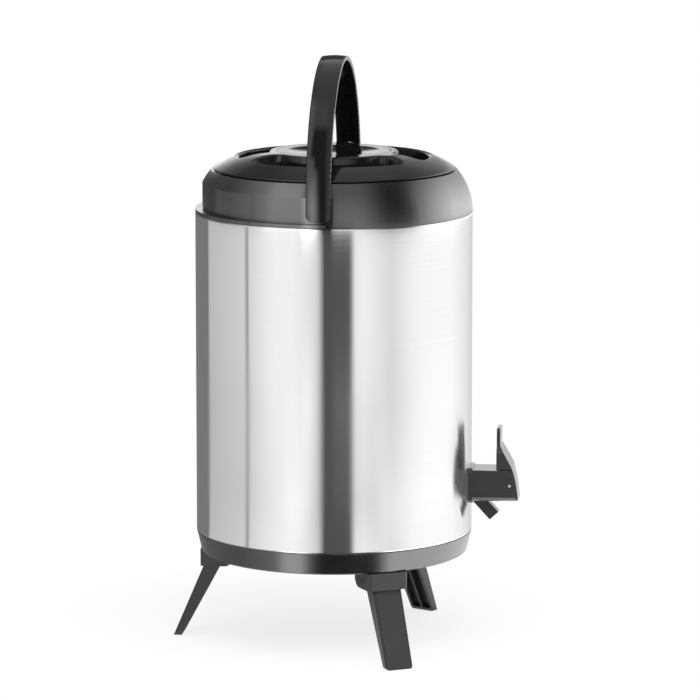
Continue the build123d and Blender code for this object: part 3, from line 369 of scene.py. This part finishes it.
def carve(piece, cutter):
    """Cuts a closed shape out of a piece and merges the close points that the cut leaves."""
    data = bpy.data.meshes.new("cutter")
    cutter.to_mesh(data)
    cutter.free()
    tool = bpy.data.objects.new("cutter", data)
    bpy.context.collection.objects.link(tool)
    cut = piece.modifiers.new("cut", "BOOLEAN")
    cut.object = tool
    cut.solver = "EXACT"
    bpy.context.view_layer.update()
    carved = piece.evaluated_get(bpy.context.evaluated_depsgraph_get())
    carved_data = bpy.data.meshes.new_from_object(carved)
    piece.modifiers.clear()
    shape = bmesh.new()
    shape.from_mesh(carved_data)
    bmesh.ops.remove_doubles(shape, verts=shape.verts, dist=merge_distance)
    bmesh.ops.dissolve_degenerate(shape, edges=shape.edges, dist=merge_distance)
    bmesh.ops.triangulate(shape, faces=shape.faces)
    shape.to_mesh(carved_data)
    shape.free()
    piece.data = carved_data
    bpy.data.objects.remove(tool)


jacket_low, jacket_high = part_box("outer_shell")
flange_low, flange_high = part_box("tap_flange")
shank_low, shank_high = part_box("tap_shank")
jacket_radius = jacket_high[0]
jacket_bottom = jacket_low[2]
jacket_top = jacket_high[2]
inside = jacket_radius - sheet
hem_edge = jacket_radius - hem
lower_hem = [(hem_edge, jacket_bottom)]
for step in range(bend_steps + 1):
    angle = math.radians(90) * step / bend_steps
    out = jacket_radius - hem_bend + hem_bend * math.sin(angle)
    up = jacket_bottom + hem_bend - hem_bend * math.cos(angle)
    lower_hem.append((out, up))
lower_hem.append((jacket_radius, jacket_bottom + hem_bend + bend_guard))
upper_hem = [(out, jacket_bottom + jacket_top - up) for out, up in reversed(lower_hem)]
flange_rows = [flange_low[2] + under_flange, flange_high[2] - under_flange]
outline = lower_hem + [(jacket_radius, row) for row in flange_rows] + upper_hem
outline += [(hem_edge, jacket_top - sheet), (inside, jacket_top - sheet)]
outline += [(inside, row) for row in reversed(flange_rows)]
outline += [(inside, jacket_bottom + sheet), (hem_edge, jacket_bottom + sheet)]
rolled = bmesh.new()
sheet_points = [rolled.verts.new((out, 0, up)) for out, up in outline]
sheet_edges = closed_line(rolled, sheet_points)
spin_round(rolled, sheet_points + sheet_edges, (0, 0, 1), jacket_segments)
jacket = settle(rolled, "rolled_jacket", brushed_steel, "barrel")
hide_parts("outer_shell")

drill = bmesh.new()
drill_radius = (shank_high[0] - shank_low[0]) / 2 + hole_clearance
drill_place = Matrix.Translation((0, -jacket_radius, (shank_low[2] + shank_high[2]) / 2))
bmesh.ops.create_cone(
    drill,
    cap_ends=True,
    segments=hole_segments,
    radius1=drill_radius,
    radius2=drill_radius,
    depth=jacket_radius,
    matrix=drill_place @ Matrix.Rotation(math.radians(90), 4, "X"),
)
carve(jacket, drill)

# The collar and the band at the foot are mouldings with a satin black skin, brushed round.
# The skin draws every highlight upright, as the steel between them does.
satin_skin = Finish("satin_black_skin")
satin_skin.set_socket("IOR", 1.8)
satin_skin.set_socket("Specular IOR Level", 1)
brush_round(satin_skin, strength=0.9)
brushing = satin_skin.grain(scale=6, detail=3, stretch=(1, 1, 300))
satin_skin.colour(brushing, dark=(0.005, 0.005, 0.0052), light=(0.007, 0.007, 0.0073))
satin_skin.roughness(brushing, low=0.20, high=0.24)
dress(satin_skin, "collar", "base_ring")

# The handle and the lid are injection mouldings in glossy black.
# The strap swings on bosses that washers and screws hold inside the collar.
gloss_black = Finish("gloss_black_plastic")
gloss_black.set_socket("IOR", 1.6)
haze = gloss_black.grain(scale=28, detail=3)
swirl = gloss_black.grain(scale=380, detail=2)
gloss_black.colour(haze, dark=(0.006, 0.006, 0.0063), light=(0.009, 0.009, 0.0094))
gloss_black.roughness(haze, low=0.07, high=0.11)
gloss_black.emboss(swirl, strength=0.012, height=0.0002)
dress(gloss_black, "handle", "lid_floor", "lid_cap")
dress(steel_bits, "handle_washers", "handle_screws")

# The lid's dome rolls over softly into its three finger pockets, as moulded rims do.
# The roll is cut along each pocket's outline into a copy of the lid.
lid_low, lid_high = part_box("lid_shell")
lid_radius = lid_high[0]
lid_top = lid_high[2]
lid_height = lid_top - lid_low[2]
dome_radius = 0.0884
plateau = lid_radius - math.sqrt(dome_radius**2 - (dome_radius - lid_height) ** 2)
pocket_outside = 0.093
pocket_inside = 0.0626
pocket_corner = 0.007
pocket_half_spread = math.radians(52)
pocket_draft = math.radians(5)
pocket_turns = [math.radians(angle) for angle in (181, 301, 421)]
outer_steps = 48
inner_steps = 36
corner_steps = 12
roll = 0.003
roll_centre = roll * (1 / math.cos(pocket_draft) - math.tan(pocket_draft))
roll_steps = 10
roll_first = math.radians(6)
roll_last = math.radians(80)
lead_in = 0.00075
weld_distance = 0.000001


def dome_level(reach):
    """Level of the lid's top at a reach from its axis."""
    run = max(0, reach - plateau)
    return lid_top - dome_radius + math.sqrt(dome_radius**2 - run**2)


def pocket_loop(offset):
    """A pocket's outline in plan, moved outwards by an offset, as points about the axis."""
    outer_reach = pocket_outside - pocket_corner
    inner_reach = pocket_inside + pocket_corner
    outer_turn = pocket_half_spread - math.asin(pocket_corner / outer_reach)
    inner_turn = pocket_half_spread - math.asin(pocket_corner / inner_reach)
    side = pocket_half_spread + math.radians(90)
    arcs = [
        (0, 0, pocket_outside, -outer_turn, outer_turn, outer_steps),
        (outer_reach, outer_turn, pocket_corner, outer_turn, side, corner_steps),
        (inner_reach, inner_turn, pocket_corner, side, inner_turn + math.pi, corner_steps),
        (0, 0, -pocket_inside, inner_turn + math.pi, math.pi - inner_turn, inner_steps),
        (inner_reach, -inner_turn, pocket_corner, math.pi - inner_turn, math.tau - side, corner_steps),
        (outer_reach, -outer_turn, pocket_corner, math.tau - side, math.tau - outer_turn, corner_steps),
    ]
    points = []
    for reach, turn, bend, first, last, steps in arcs:
        centre = Vector((reach * math.cos(turn), reach * math.sin(turn), 0))
        for step in range(steps):
            angle = first + (last - first) * step / steps
            points.append(centre + (bend + offset) * Vector((math.cos(angle), math.sin(angle), 0)))
    return points


def roll_point(step):
    """Offset from the pocket's outline and depth under the dome, at a step of the roll."""
    angle = roll_first + (roll_last - roll_first) * step / roll_steps
    return roll_centre - roll * math.sin(angle), roll - roll * math.cos(angle)


rolled_rim = [roll_point(step) for step in range(roll_steps + 1)]
first_offset, first_depth = rolled_rim[0]
last_offset, last_depth = rolled_rim[-1]
outer_offset = first_offset + lead_in * math.cos(roll_first)
inner_offset = last_offset - roll / 2
section = [(outer_offset, first_depth - lead_in * math.sin(roll_first))]
section += rolled_rim
section += [(inner_offset, last_depth), (inner_offset, -roll), (outer_offset, -roll)]
cutter = bmesh.new()
for turn in pocket_turns:
    loops = []
    for offset, depth in section:
        points = []
        for point in pocket_loop(offset):
            point.z = dome_level(point.length) - depth
            points.append(cutter.verts.new(Matrix.Rotation(turn, 3, "Z") @ point))
        loops.append(closed_line(cutter, points))
    for near, far in zip(loops, loops[1:] + loops[:1]):
        bmesh.ops.bridge_loops(cutter, edges=near + far)
bmesh.ops.recalc_face_normals(cutter, faces=cutter.faces)
lid_copy = bmesh.new()
lid_copy.from_mesh(nodes["lid_shell"].data)
bmesh.ops.remove_doubles(lid_copy, verts=lid_copy.verts, dist=weld_distance)
lid = settle(lid_copy, "rounded_lid", gloss_black, "lid")
carve(lid, cutter)
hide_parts("lid_shell")

# Under the lid a plug carries the insulation and a silicone gasket that seals on the rim.
# The plug is a plain black moulding, and the gasket is milky.
dress(satin_black, "lid_liner")
silicone = Finish("milky_silicone")
milk = silicone.grain(scale=60, detail=3)
silicone.colour(milk, dark=(0.70, 0.70, 0.67), light=(0.80, 0.80, 0.77))
silicone.roughness(milk, low=0.42, high=0.55)
dress(silicone, "lid_gasket", "tap_washer", "valve_seal", "stem_oring")

# The plug screws into the neck by three starts of a coarse moulded thread.
# The ridges on the plug run under those in the neck, and both climb as the lid does.
thread_starts = 3
thread_arc = math.radians(140)
thread_steps = 56
climb = next(pair["ratio"] for pair in behaviour["couplings"] if pair["joint"] == "lid_rise")
neck_gap = 0.0016
root_sink = 0.0002
crest_half = 0.0005
plug_level = 0.4522
plug_ridge_height = 0.0014
plug_root_half = 0.0009
neck_level = plug_level + climb * math.tau / thread_starts / 2
neck_ridge_height = 0.0005
neck_root_half = 0.0008
plug_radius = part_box("lid_liner")[1][0]
neck_radius = plug_radius + neck_gap


def thread(name, root, root_half, crest, level, finish, body):
    """Ridges that climb round the axis, between two radii and about a level."""
    shape = bmesh.new()
    ridge = [(root, -root_half), (crest, -crest_half), (crest, crest_half), (root, root_half)]
    for start in range(thread_starts):
        turn = Matrix.Rotation(start * math.tau / thread_starts, 3, "Z")
        points = [shape.verts.new(turn @ Vector((radius, 0, level + rise))) for radius, rise in ridge]
        end = shape.faces.new(points)
        bmesh.ops.spin(
            shape,
            geom=[end] + list(end.edges) + points,
            cent=(0, 0, 0),
            axis=(0, 0, 1),
            dvec=(0, 0, climb * thread_arc / thread_steps),
            angle=thread_arc,
            steps=thread_steps,
        )
    settle(shape, name, finish, body)


thread(
    "plug_thread",
    root=plug_radius - root_sink,
    root_half=plug_root_half,
    crest=plug_radius + plug_ridge_height,
    level=plug_level,
    finish=satin_black,
    body="lid",
)
thread(
    "neck_thread",
    root=neck_radius + root_sink,
    root_half=neck_root_half,
    crest=neck_radius - neck_ridge_height,
    level=neck_level,
    finish=satin_skin,
    body="barrel",
)

# The tap is a smooth black moulding, clamped through both walls by a nut on its shank.
# Its lever has a wedge behind, which pushes the valve's stem in.
tap_black = Finish("smooth_black_plastic")
tap_black.set_socket("Coat Weight", 1)
tap_black.set_socket("Coat Roughness", 0.08)
clouds = tap_black.grain(scale=60, detail=3)
specks = tap_black.grain(scale=1500, detail=2)
tap_black.colour(clouds, dark=(0.034, 0.034, 0.035), light=(0.045, 0.045, 0.047))
tap_black.roughness(specks, low=0.17, high=0.25)
tap_black.emboss(specks, strength=0.05, height=0.0002)
dress(tap_black, "tap_flange", "tap_body", "tap_shank", "tap_lever", "tap_nut", "valve_stem")
dress(steel_bits, "gland_washer")

# The valve's spring is a coil of round steel wire on the stem, which stands on the gland's washer.
# In use it shortens towards the washer as the lever pushes the stem in; here it is made at its length
# at rest.
spring_wire = 0.00045
wire_segments = 12
spring_turns = 4
spring_steps = 128
spring_low, spring_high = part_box("valve_spring")
spring_level = (spring_low[2] + spring_high[2]) / 2
spring_radius = (spring_high[0] - spring_low[0]) / 2 - spring_wire
spring_length = spring_high[1] - spring_low[1]
coil_length = spring_length - 2 * spring_wire
coil = bmesh.new()
bmesh.ops.create_circle(coil, cap_ends=True, segments=wire_segments, radius=spring_wire)
coil_start = (spring_radius, spring_high[1] - spring_wire, spring_level)
bmesh.ops.translate(coil, vec=coil_start, verts=coil.verts)
bmesh.ops.spin(
    coil,
    geom=list(coil.faces) + list(coil.edges) + list(coil.verts),
    cent=(0, 0, spring_level),
    axis=(0, 1, 0),
    dvec=(0, -coil_length / spring_steps, 0),
    angle=spring_turns * math.tau,
    steps=spring_steps,
)
spring = settle(coil, "coil_spring", steel_bits, "barrel")
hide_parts("valve_spring")
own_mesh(spring)

# The lever turns on a plain steel pin, pressed through the sides of the tap.
# Its ends are rounded and stand a little proud.
pin_dome = 0.0006
pin_segments = 24
dome_steps = [(0, 1), (0.45, 0.85), (0.8, 0.45), (1, -0.3)]
pin_low, pin_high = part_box("lever_pin")
pin_radius = (pin_high[2] - pin_low[2]) / 2
pin_half = (pin_high[0] - pin_low[0]) / 2
pin_middle = (Vector(pin_low) + Vector(pin_high)) / 2
pin_line = [(pin_radius * wide, pin_half + pin_dome * proud) for wide, proud in dome_steps]
pin_line += [(radius, -along) for radius, along in reversed(pin_line)]
pin_shape = bmesh.new()
pin_points = [pin_shape.verts.new((along, radius, 0)) for radius, along in pin_line]
pin_edges = [pin_shape.edges.new(pair) for pair in zip(pin_points, pin_points[1:])]
spin_round(pin_shape, pin_points + pin_edges, (1, 0, 0), pin_segments)
bmesh.ops.remove_doubles(pin_shape, verts=pin_shape.verts, dist=weld_distance)
bmesh.ops.translate(pin_shape, vec=pin_middle, verts=pin_shape.verts)
pin = settle(pin_shape, "domed_lever_pin", steel_bits, "barrel")
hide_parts("lever_pin")

# The floor is a broad white sweep of paper that keeps the soft shadow under the barrel.
# It is partly self-lit for the camera and for mirror images, wholly so away from the barrel.
floor_half = 30.0
paper_white = 0.92
glow_near = 0.08
glow_far = 0.30
glow_share = 0.79
glow_middle = (0.10, 0.04, 0)


def vector_sum(wiring, operation, vector, other=None):
    """A sum on a vector, with a fixed other one where it needs that."""
    node = wiring.add("ShaderNodeVectorMath", operation=operation)
    wiring.join(vector, node.inputs[0])
    if other is not None:
        node.inputs[1].default_value = other
    return node


def seen_directly(wiring):
    """One for what the camera, a mirror or a glass sees, and nought for stray light."""
    path = wiring.add("ShaderNodeLightPath")
    seen = path.outputs["Is Camera Ray"]
    for ray in ("Is Glossy Ray", "Is Transmission Ray"):
        either = wiring.add("ShaderNodeMath", operation="MAXIMUM")
        wiring.join(seen, either.inputs[0])
        wiring.join(path.outputs[ray], either.inputs[1])
        seen = either.outputs["Value"]
    return seen


floor_mesh = bmesh.new()
bmesh.ops.create_grid(floor_mesh, x_segments=1, y_segments=1, size=floor_half)
floor_data = bpy.data.meshes.new("floor")
floor_mesh.to_mesh(floor_data)
floor_mesh.free()
floor = bpy.data.objects.new("floor", floor_data)
bpy.context.collection.objects.link(floor)
paper = Finish("white_floor_paper")
paper.set_socket("Base Color", (paper_white, paper_white, paper_white, 1))
paper.set_socket("Roughness", 1)
paper.set_socket("Specular IOR Level", 0)
glow = paper.add("ShaderNodeEmission", Strength=1, Color=(1, 1, 1, 1))
from_middle = vector_sum(paper, "SUBTRACT", paper.place(), glow_middle)
away = vector_sum(paper, "LENGTH", from_middle.outputs["Vector"]).outputs["Value"]
growth = paper.carry(away, (glow_near, glow_far), (glow_share, 1), interpolation_type="SMOOTHSTEP")
self_lit = paper.add("ShaderNodeMath", operation="MULTIPLY")
paper.join(seen_directly(paper), self_lit.inputs[0])
paper.join(growth, self_lit.inputs[1])
blend = paper.add("ShaderNodeMixShader")
paper.join(self_lit.outputs["Value"], blend.inputs["Fac"])
paper.join(paper.shader.outputs["BSDF"], blend.inputs[1])
paper.join(glow.outputs["Emission"], blend.inputs[2])
paper.join(blend.outputs["Shader"], paper.surface)
floor_data.materials.append(paper.material)

# The camera looks at the handle's near pivot from a little above, through a long lens.
# Its place comes from a fit to the barrel's edges in the photograph.
camera_turn = math.radians(-83.6)
camera_rise = math.radians(9.21)
camera_reach = 4.5136
camera_sight = 200
sensor_width = 36
picture_width = 700
focal_pixels = 4616
aim_height = 0.2863
aim_right = 0.0155
aim = Vector((math.cos(camera_turn) * aim_right, math.sin(camera_turn) * aim_right, aim_height))
towards_camera = Vector(
    (
        math.cos(camera_rise) * math.sin(camera_turn),
        -math.cos(camera_rise) * math.cos(camera_turn),
        math.sin(camera_rise),
    )
)
camera_data = bpy.data.cameras.new("camera")
camera_data.sensor_width = sensor_width
camera_data.lens = sensor_width * focal_pixels / picture_width
camera_data.clip_end = camera_sight
camera = bpy.data.objects.new("camera", camera_data)
camera.location = aim + towards_camera * camera_reach
camera.rotation_euler = (-towards_camera).to_track_quat("-Z", "Y").to_euler()
bpy.context.collection.objects.link(camera)
bpy.context.scene.camera = camera

# Self-lit walls stand round the barrel, as in a product studio, and only its reflections see them:
# their greys are painted reflections, which put the bands in the steel, the tap and the base ring.
# The low wall's and the floor card's greys go by the angle from the camera, positive to its right.
# They were worked out from grey levels along rows of the photograph, then adjusted against renders.
wall_radius = 0.70
wall_segments = 96
low_wall_top = 0.345
floor_card_level = 0.002
floor_card_inner = 0.16
floor_card_outer = 0.50
brightest = 4.0
low_greys = [
    (-176, 0.85), (-168, 0.20), (-119, 0.21), (-117, 0.58), (-75, 0.74), (-72, 0.74),
    (-71, 0.38), (-69, 0.38), (-68, 0.78), (-56, 0.94), (-45, 1.04), (-30, 1.04),
    (-16, 0.87), (-12, 0.76), (-7, 0.095), (9, 0.10), (12, 0.14), (16, 0.97),
    (22, 1.05), (44, 0.84), (62, 1.06), (76, 1.12), (105, 1.12), (137, 0.86),
    (146, 0.74), (158, 0.72), (164, 0.85),
]
floor_greys = [
    (-170, 0.3), (-70, 0.32), (-42, 0.6), (-33, 1.7), (-23, 1.7), (-16, 0.4),
    (-10, 0.04), (24, 0.04), (30, 0.25), (40, 1.85), (110, 1.8), (160, 1.0),
]


def turned_stage(name, outline):
    """A lit sheet turned about the axis from points of radius and height, for reflections only."""
    shape = bmesh.new()
    points = [shape.verts.new((radius, 0, height)) for radius, height in outline]
    edges = [shape.edges.new(pair) for pair in zip(points, points[1:])]
    spin_round(shape, points + edges, (0, 0, 1), wall_segments)
    data = bpy.data.meshes.new(name)
    shape.to_mesh(data)
    shape.free()
    wall = bpy.data.objects.new(name, data)
    bpy.context.collection.objects.link(wall)
    wall.visible_camera = False
    wall.visible_diffuse = False
    wall.visible_shadow = False
    finish = Finish(name)
    lit = finish.add("ShaderNodeEmission", Strength=brightest)
    finish.join(lit.outputs["Emission"], finish.surface)
    data.materials.append(finish.material)
    return finish, lit.inputs["Color"]


def bearing(wiring, vector):
    """A vector's angle about the barrel's axis, as a share of a turn, with the camera at a half."""
    facing = wiring.add("ShaderNodeMapping", Rotation=(0, 0, math.radians(90) - camera_turn))
    around = wiring.add("ShaderNodeTexGradient", gradient_type="RADIAL")
    wiring.join(vector, facing.inputs["Vector"])
    wiring.join(facing.outputs["Vector"], around.inputs["Vector"])
    return around.outputs["Fac"]


def grey_scale(wiring, share, greys):
    """Greys at some angles in degrees, with an even change between them."""
    return ramp(wiring, share, [(angle / 360 + 0.5, grey / brightest) for angle, grey in greys])


def studio_card(name, outline, greys):
    """A sheet whose grey depends on the angle from the camera alone."""
    finish, colour = turned_stage(name, outline)
    finish.join(grey_scale(finish, bearing(finish, finish.place()), greys), colour)


studio_card(
    "low_wall",
    [
        (floor_card_outer, floor_card_level),
        (wall_radius, floor_card_level),
        (wall_radius, low_wall_top),
    ],
    low_greys,
)
studio_card(
    "floor_card",
    [(floor_card_inner, floor_card_level), (floor_card_outer, floor_card_level)],
    floor_greys,
)

# A self-lit tent closes the studio above the low wall, and the collar, the lid and the handle mirror
# it: its greys paint their highlights and dark bands as reflections.
# Each spot has the grey that suits the slope which mirrors it to the camera: that slope faces halfway
# between the two, at a bearing and a tilt. These greys were worked out as the low wall's were.
tent_top = 1.30
tent_mouth = 0.001
tent_middle = Vector((0, 0, 0.445))
left_greys = [
    (-100, 0.5), (-80, 0.10), (-67, 0.12), (-58, 0.18), (-49, 0.17), (-41, 0.36),
    (-29, 0.76), (-26.5, 1.14), (-24, 1.28),
]
right_greys = [
    (0.4, 0.54), (8, 0.57), (12, 0.45), (19, 0.12), (22, 0.05), (27, 0.055),
    (31, 0.18), (36, 0.74), (43, 1.43), (48, 1.8), (56, 2.15), (67, 1.6),
    (80, 0.8), (100, 0.6),
]
# The strap's lists paint the bright and dark parts of the strap's reflection; their dark end also lies
# on the collar just right of the strap as a painted shadow.
strap_foot = [(-12.0, 1.15), (-11.1, 3.4), (-9, 3.6), (-6.5, 1.5), (-5, 0.03), (-1.2, 0.03)]
strap_rise = [(-12.4, 1.2), (-11.5, 1.3), (-9, 1.4), (-7, 0.7), (-6, 0.03), (-1.2, 0.03)]
strap_bend = [(-12.4, 1.2), (-11.5, 1.1), (-9.8, 1.1), (-8.6, 0.03), (-1.2, 0.03)]
strap_dark = [(-12.7, 1.2), (-12.3, 0.03), (-1.2, 0.03)]
rim_greys = [
    (-100, 1.9), (-84, 1.6), (-74, 0.7), (-64, 0.2), (-50, 0.20), (-40, 0.45),
    (-28, 0.95), (-26, 1.2), (-13, 1.1), (-12, 0.62), (-0.8, 0.62), (0.4, 0.42),
    (12, 0.36), (21, 0.05), (31, 0.05), (36, 0.2), (43, 0.6), (52, 1.0),
    (62, 1.0), (80, 0.8), (100, 1.0),
]
dome_greys = [
    (-100, 1.5), (-80, 1.3), (-66, 0.4), (-52, 0.16), (-36, 0.16), (-26, 0.28),
    (-12, 0.42), (25, 0.42), (36, 0.3), (44, 0.32), (60, 0.5), (80, 0.6),
    (100, 0.8),
]
hub_greys = [(0, 1.1), (12, 1.1), (13.5, 0.08), (31, 0.08), (35, 0.6), (50, 0.6), (90, 0.5)]
hub_tilt = 74
hub_blur = 2


def collar_greys(strap, right_share):
    """Greys round the collar, with the strap's own in the middle and a share of the right side's."""
    return left_greys + strap + [(angle, grey * right_share) for angle, grey in right_greys]


def height_angle(wiring, vector):
    """How far a vector of length one rises above the level, in radians."""
    axes = wiring.add("ShaderNodeSeparateXYZ")
    wiring.join(vector, axes.inputs["Vector"])
    lift = wiring.add("ShaderNodeMath", operation="ARCSINE")
    wiring.join(axes.outputs["Z"], lift.inputs[0])
    return lift.outputs["Value"]


# Each band of slopes starts at a tilt, with a blur to both sides of it, in degrees.
foot_greys = collar_greys(strap_foot, 1.5)
slopes = [
    (9, 6, collar_greys(strap_rise, 1.25)),
    (16.5, 1.5, collar_greys(strap_bend, 1.1)),
    (21, 1.5, collar_greys(strap_dark, 1.0)),
    (27, 6, collar_greys(strap_dark, 0.7)),
    (34, 2, rim_greys),
    (46, 3, dome_greys),
]
tent, tent_colour = turned_stage(
    "tent",
    [(wall_radius, low_wall_top), (wall_radius, tent_top), (tent_mouth, tent_top)],
)
from_collar = vector_sum(tent, "SUBTRACT", tent.place(), tent_middle)
spot = vector_sum(tent, "NORMALIZE", from_collar.outputs["Vector"]).outputs["Vector"]
halfway = vector_sum(tent, "ADD", spot, towards_camera)
slope = vector_sum(tent, "NORMALIZE", halfway.outputs["Vector"]).outputs["Vector"]
slope_tilt = height_angle(tent, slope)
slope_turn = bearing(tent, slope)
spot_share = tent.carry(height_angle(tent, spot), (-math.pi, math.pi), (0, 1))
grey = grey_scale(tent, slope_turn, foot_greys)
bands = [(tilt, blur, grey_scale(tent, slope_turn, greys)) for tilt, blur, greys in slopes]
bands.append((hub_tilt, hub_blur, grey_scale(tent, spot_share, hub_greys)))
for tilt, blur, band in bands:
    change = tent.add("ShaderNodeMix", data_type="RGBA")
    blurred = (math.radians(tilt - blur), math.radians(tilt + blur))
    tent.join(tent.carry(slope_tilt, blurred, (0, 1)), change.inputs["Factor"])
    tent.join(grey, change.inputs["A"])
    tent.join(band, change.inputs["B"])
    grey = change.outputs["Result"]
tent.join(grey, tent_colour)

# A white room lights everything evenly, with a broad soft lamp overhead.
# The camera and all reflections see the room as plain white.
room_fill = 0.60
lamp_width = 2.4
lamp_depth = 1.8
lamp_power = 48
lamp_place = Vector((-1.1, -0.3, 2.4))
lamp_aim = Vector((0, 0, 0.25))
world = bpy.data.worlds.new("white_room")
bpy.context.scene.world = world
room = Wiring(world)
background = room.nodes["Background"]
background.inputs["Color"].default_value = (1, 1, 1, 1)
room.join(room.carry(seen_directly(room), (0, 1), (room_fill, 1)), background.inputs["Strength"])

lamp_data = bpy.data.lights.new("overhead_softbox", "AREA")
lamp_data.shape = "RECTANGLE"
lamp_data.size = lamp_width
lamp_data.size_y = lamp_depth
lamp_data.energy = lamp_power
lamp = bpy.data.objects.new("overhead_softbox", lamp_data)
lamp.location = lamp_place
lamp.rotation_euler = (lamp_aim - lamp_place).to_track_quat("-Z", "Y").to_euler()
lamp.visible_glossy = False
bpy.context.collection.objects.link(lamp)

# Colours are shown as they are written, with no film curve.
bpy.context.scene.view_settings.view_transform = "Standard"
